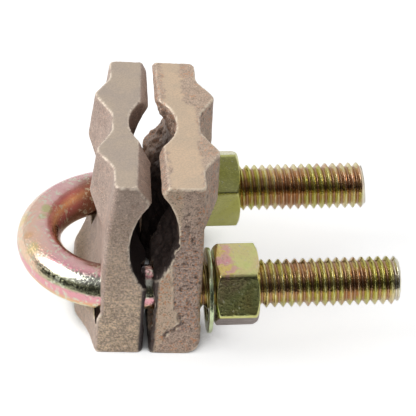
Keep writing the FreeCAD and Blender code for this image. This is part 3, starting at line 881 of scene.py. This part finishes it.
# %% Turned grids
def turned_grid(name, x, radius, centre, axis, start_angle):
    """A closed net: x is the place along the axis and radius the distance from it, per row and angle."""
    rows, columns = radius.shape
    angle = start_angle + math.tau * np.arange(columns) / columns
    turn = Vector((1, 0, 0)).rotation_difference(axis).to_matrix()
    local = np.stack([np.broadcast_to(x[:, None], radius.shape) if x.ndim == 1 else x,
                      -radius * np.sin(angle), radius * np.cos(angle)], axis=-1)
    points = local.reshape(-1, 3) @ np.array(turn).T + np.array(centre)
    row, column = np.meshgrid(np.arange(rows), np.arange(columns), indexing="ij")
    next_row, next_column = (row + 1) % rows, (column + 1) % columns
    faces = np.stack([row * columns + column, row * columns + next_column,
                      next_row * columns + next_column, next_row * columns + column], axis=-1)
    return mesh_object(name, points, faces.reshape(-1, 4).tolist())


def soft_minimum(a, b, width):
    """The lesser of two values, with the change from one to the other rounded over the width."""
    share = np.clip(0.5 + 0.5 * (b - a) / width, 0, 1)
    return b + (a - b) * share - width * share * (1 - share)


# %% Hex nuts
across_flats = 14.29 * MM
nut_height = 8.3 * MM
face_radius = 6.8 * MM
chamfer_angle = math.radians(30)
nut_bore_radius = 4.675 * MM
nut_thread_depth = 0.62 * MM
countersink = 0.55 * MM
corner_wear = 0.12 * MM
corner_softness = 0.2 * MM
chamfer_softness = 0.12 * MM
outside_gap = 0.06 * MM      # the rows of each stretch stop this short of the next one
bore_gap = 0.1 * MM
face_gap = 0.15 * MM
nut_columns = 192
face_rows = 5
outside_rows = 56
bore_rows = 90


def hex_nut(name, node, joint, corner_angle, bolt_start, quarter_turn, finish):
    """One nut on its leg, its corners turned to corner_angle degrees from +Z towards -Y.

    bolt_start is where the bolt's rows start on this leg, and quarter_turn the angle of its first point,
    so that the thread in the bore meets the thread of the leg.
    """
    centre = Vector(joints[joint]["pos_m"])
    on_leg = bolt_pivot.x + (centre - bolt_pivot).dot(leg_direction)
    start_angle = math.radians(corner_angle)
    angle = math.tau * np.arange(nut_columns) / nut_columns
    half = nut_height / 2

    from_corner = np.abs((angle + math.pi / 6) % (math.pi / 3) - math.pi / 6)
    flats = across_flats / 2 / np.cos(math.pi / 6 - from_corner)
    corner_radius = across_flats / 2 / math.cos(math.pi / 6) - corner_wear
    hexagon = soft_minimum(flats, np.full(nut_columns, corner_radius), corner_softness)
    outside_x = (outside_gap - half) * np.cos(np.linspace(0, math.pi, outside_rows))
    cone = face_radius + (half - np.abs(outside_x)) / math.tan(chamfer_angle)
    shell = soft_minimum(hexagon[None, :], cone[:, None], chamfer_softness)

    mouth = nut_bore_radius + countersink
    bore_x = np.linspace(half - bore_gap, bore_gap - half, bore_rows)
    advance = (on_leg + bore_x[:, None] - bolt_start) / pitch
    turn = (advance - (angle[None, :] + start_angle + quarter_turn) / math.tau) % 1.0
    from_crest = 1 - np.abs(turn * 2 - 1)
    bore = nut_bore_radius - nut_thread_depth * np.clip(from_crest * 1.3 - 0.1, 0, 1)
    bore = np.maximum(bore, mouth - (half - np.abs(bore_x))[:, None])

    face = np.linspace(mouth, face_radius - face_gap, face_rows)[:, None] * np.ones((1, nut_columns))
    radius = np.vstack([face, shell, face[::-1], bore])
    x = np.concatenate([np.full(face_rows, -half), outside_x, np.full(face_rows, half), bore_x])
    nut = turned_grid(name, x, radius, centre, leg_direction, start_angle)
    nut.data.materials.append(finish)
    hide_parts(node)
    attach(nut, node)
    print(name, triangle_count(nut.data), "triangles")


far_leg_start = -(near_leg_end + 2 * bend_back + math.pi * leg_spacing / 2)
hex_nut("near_nut_plated", "near_nut", "near_nut_turn", 41.0, near_leg_end, -math.pi / 2, near_nut_finish)
hex_nut("far_nut_plated", "far_nut", "far_nut_turn", 1.0, far_leg_start, math.pi / 2, far_nut_finish)

# %% Washers
washer_hole_radius = 5.925 * MM
washer_radius = 8.08 * MM
washer_thickness = 0.78 * MM
washer_corner = 0.22 * MM
sharp_corner = 0.06 * MM
washer_columns = 96


def flat_washer(name, node):
    """A stamped washer: rolled corners on the side of the nut, sharper ones behind."""
    low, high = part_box(node)
    centre = (low + high) / 2
    half = washer_thickness / 2
    section = [(-half, washer_hole_radius + 0.05 * MM), (-half, washer_radius - sharp_corner),
               (-half + sharp_corner, washer_radius)]
    section += [(half - washer_corner * (1 - math.cos(q)), washer_radius - washer_corner * (1 - math.sin(q)))
                for q in np.linspace(math.pi / 2, 0, 5)]
    section += [(half, washer_hole_radius + 0.15 * MM), (half - 0.1 * MM, washer_hole_radius),
                (-half + 0.05 * MM, washer_hole_radius)]
    x, radius = np.array(section).T
    washer = turned_grid(name, x, radius[:, None] * np.ones((1, washer_columns)), centre, leg_direction, 0.0)
    washer.data.materials.append(washer_finish)
    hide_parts(node)
    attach(washer, "front_jaw")


flat_washer("near_washer_plated", "near_washer")
flat_washer("far_washer_plated", "far_washer")

# %% Hand the castings and the bolt to their bodies
for piece, node, body, slot in (
        (rear_cast, "rear_jaw", "bolt_and_rear_jaw", "cast_bronze_rear"),
        (front_cast, "front_jaw", "front_jaw", "cast_bronze_front"),
        (bolt, "u_bolt", "bolt_and_rear_jaw", "chromate_bolt")):
    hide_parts(node)
    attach(piece, body)

# %% [markdown]
# ## Floor, world and lamps
#
# The photograph has a white ground. The floor is a plain pale material that also glows a little. It shows
# lighter to the camera and to reflections than to scattered light, so it looks white without lighting the
# castings from below. Where it is closed in, as in the gap between the jaws, the glow goes out. The world is
# bright behind and on the left and dark in front, because plated metal mirrors it: bright and dark bands are
# what make it look like metal. The softbox on the left gives the white band on the bend, and a fill lamp
# that reflections don't see lights the near faces.

# %% Floor
grey_to_camera = 0.60
grey_to_reflections = 0.92
grey_to_scattered_light = 0.40
glow_to_camera = 0.48
glow_where_seen = 0.20       # to the camera, and in reflections too
closed_in_reach = 0.012      # how far off, in m, something still closes the floor in


def level_sheets(name, height, spans):
    """Level rectangles in one object; a span is (left, right), (front, back) in m."""
    points, faces = [], []
    for (left, right), (front, back) in spans:
        faces.append(range(len(points), len(points) + 4))
        corners = (left, front), (right, front), (right, back), (left, back)
        points += [(x, y, height) for x, y in corners]
    return mesh_object(name, points, faces)


floor = level_sheets("floor", 0.0, [((-3.0, 3.0), (-3.0, 3.0))])
floor_material, maker, shader = new_material("floor")
m, ramp, times = maker.maths, maker.ramp, maker.product
light_path = maker.add("ShaderNodeLightPath").outputs
by_camera = light_path["Is Camera Ray"]
mirrored = m("MAXIMUM", light_path["Is Glossy Ray"], light_path["Is Transmission Ray"])
seen = m("MAXIMUM", by_camera, mirrored)
grey = ramp(seen, 0, 1, grey_to_scattered_light, grey_to_reflections)
grey = ramp(by_camera, 0, 1, grey, grey_to_camera)
maker.set(shader.inputs["Base Color"],
          maker.add("ShaderNodeCombineColor", {0: grey, 1: grey, 2: grey}).outputs[0])
shader.inputs["Roughness"].default_value = 0.9
shader.inputs["Specular IOR Level"].default_value = 0.0
shader.inputs["Emission Color"].default_value = (1, 1, 1, 1)
openness = maker.add("ShaderNodeAmbientOcclusion", {"Distance": closed_in_reach}).outputs["AO"]
glow = m("MULTIPLY_ADD", by_camera, glow_to_camera, times(seen, glow_where_seen))
maker.set(shader.inputs["Emission Strength"], times(glow, ramp(openness, 0.20, 0.42)))
floor.data.materials.append(floor_material)

# %% [markdown]
# Photographers lay black cards beside plated metal. The camera doesn't see these two and they cast no
# shadow, but every surface that leans a little upwards mirrors them, and the dark band gives the round bar
# and the flats their form.

# %% Black cards
card_spans = ((-0.075, 0.45), (-0.75, -0.052)), ((-0.75, -0.085), (-0.75, 0.0))
card = level_sheets("black_cards", 0.5 * MM, card_spans)
card_material, maker, shader = new_material("black_cards")
shader.inputs["Base Color"].default_value = (0.03, 0.03, 0.03, 1)
shader.inputs["Roughness"].default_value = 0.8
card.data.materials.append(card_material)
card.visible_camera = False
card.visible_diffuse = False
card.visible_shadow = False

# %% World
world = bpy.data.worlds.new("studio")
scene.world = world
world.use_nodes = True
world.node_tree.nodes.clear()
sky = NodeTree(world.node_tree)
looking = parts_of(sky, sky.add("ShaderNodeTexCoord").outputs["Generated"])
from_above = sky.ramp(looking["Z"], 0.50, 0.85, 0.05, 0.32)
from_the_left = sky.product(sky.ramp(looking["X"], -0.45, -0.80, 0.0, 0.6), sky.ramp(looking["Z"], 0.2, 0.4))
light = sky.maths("ADD", from_above, from_the_left)
up_to_white = sky.maths("SUBTRACT", 0.85, light)
light = sky.maths("ADD", light, sky.product(sky.ramp(looking["Y"], -0.05, 0.35), up_to_white))
sky.add("ShaderNodeOutputWorld", {"Surface": sky.add("ShaderNodeBackground", {"Strength": light}).outputs[0]})


# %% Lamps
def area_lamp(name, towards, distance, size, power, in_reflections=True):
    """A square soft lamp in a direction from the middle of the clamp."""
    data = bpy.data.lights.new(name, "AREA")
    data.size = size
    data.energy = power
    lamp = bpy.data.objects.new(name, data)
    scene.collection.objects.link(lamp)
    back = Vector(towards).normalized()
    turn = (-back).to_track_quat("-Z", "Y").to_matrix().to_4x4()
    lamp.matrix_world = Matrix.Translation(camera_aim + distance * back) @ turn
    lamp.visible_glossy = in_reflections
    return lamp


area_lamp("softbox on the left", (-0.76, -0.06, 0.62), 0.6, 0.38, 1.6)
area_lamp("fill in front", (-0.15, -0.85, 0.5), 0.8, 0.5, 2.0, in_reflections=False)

# %% View settings and closing lines
scene.view_settings.view_transform = "Standard"
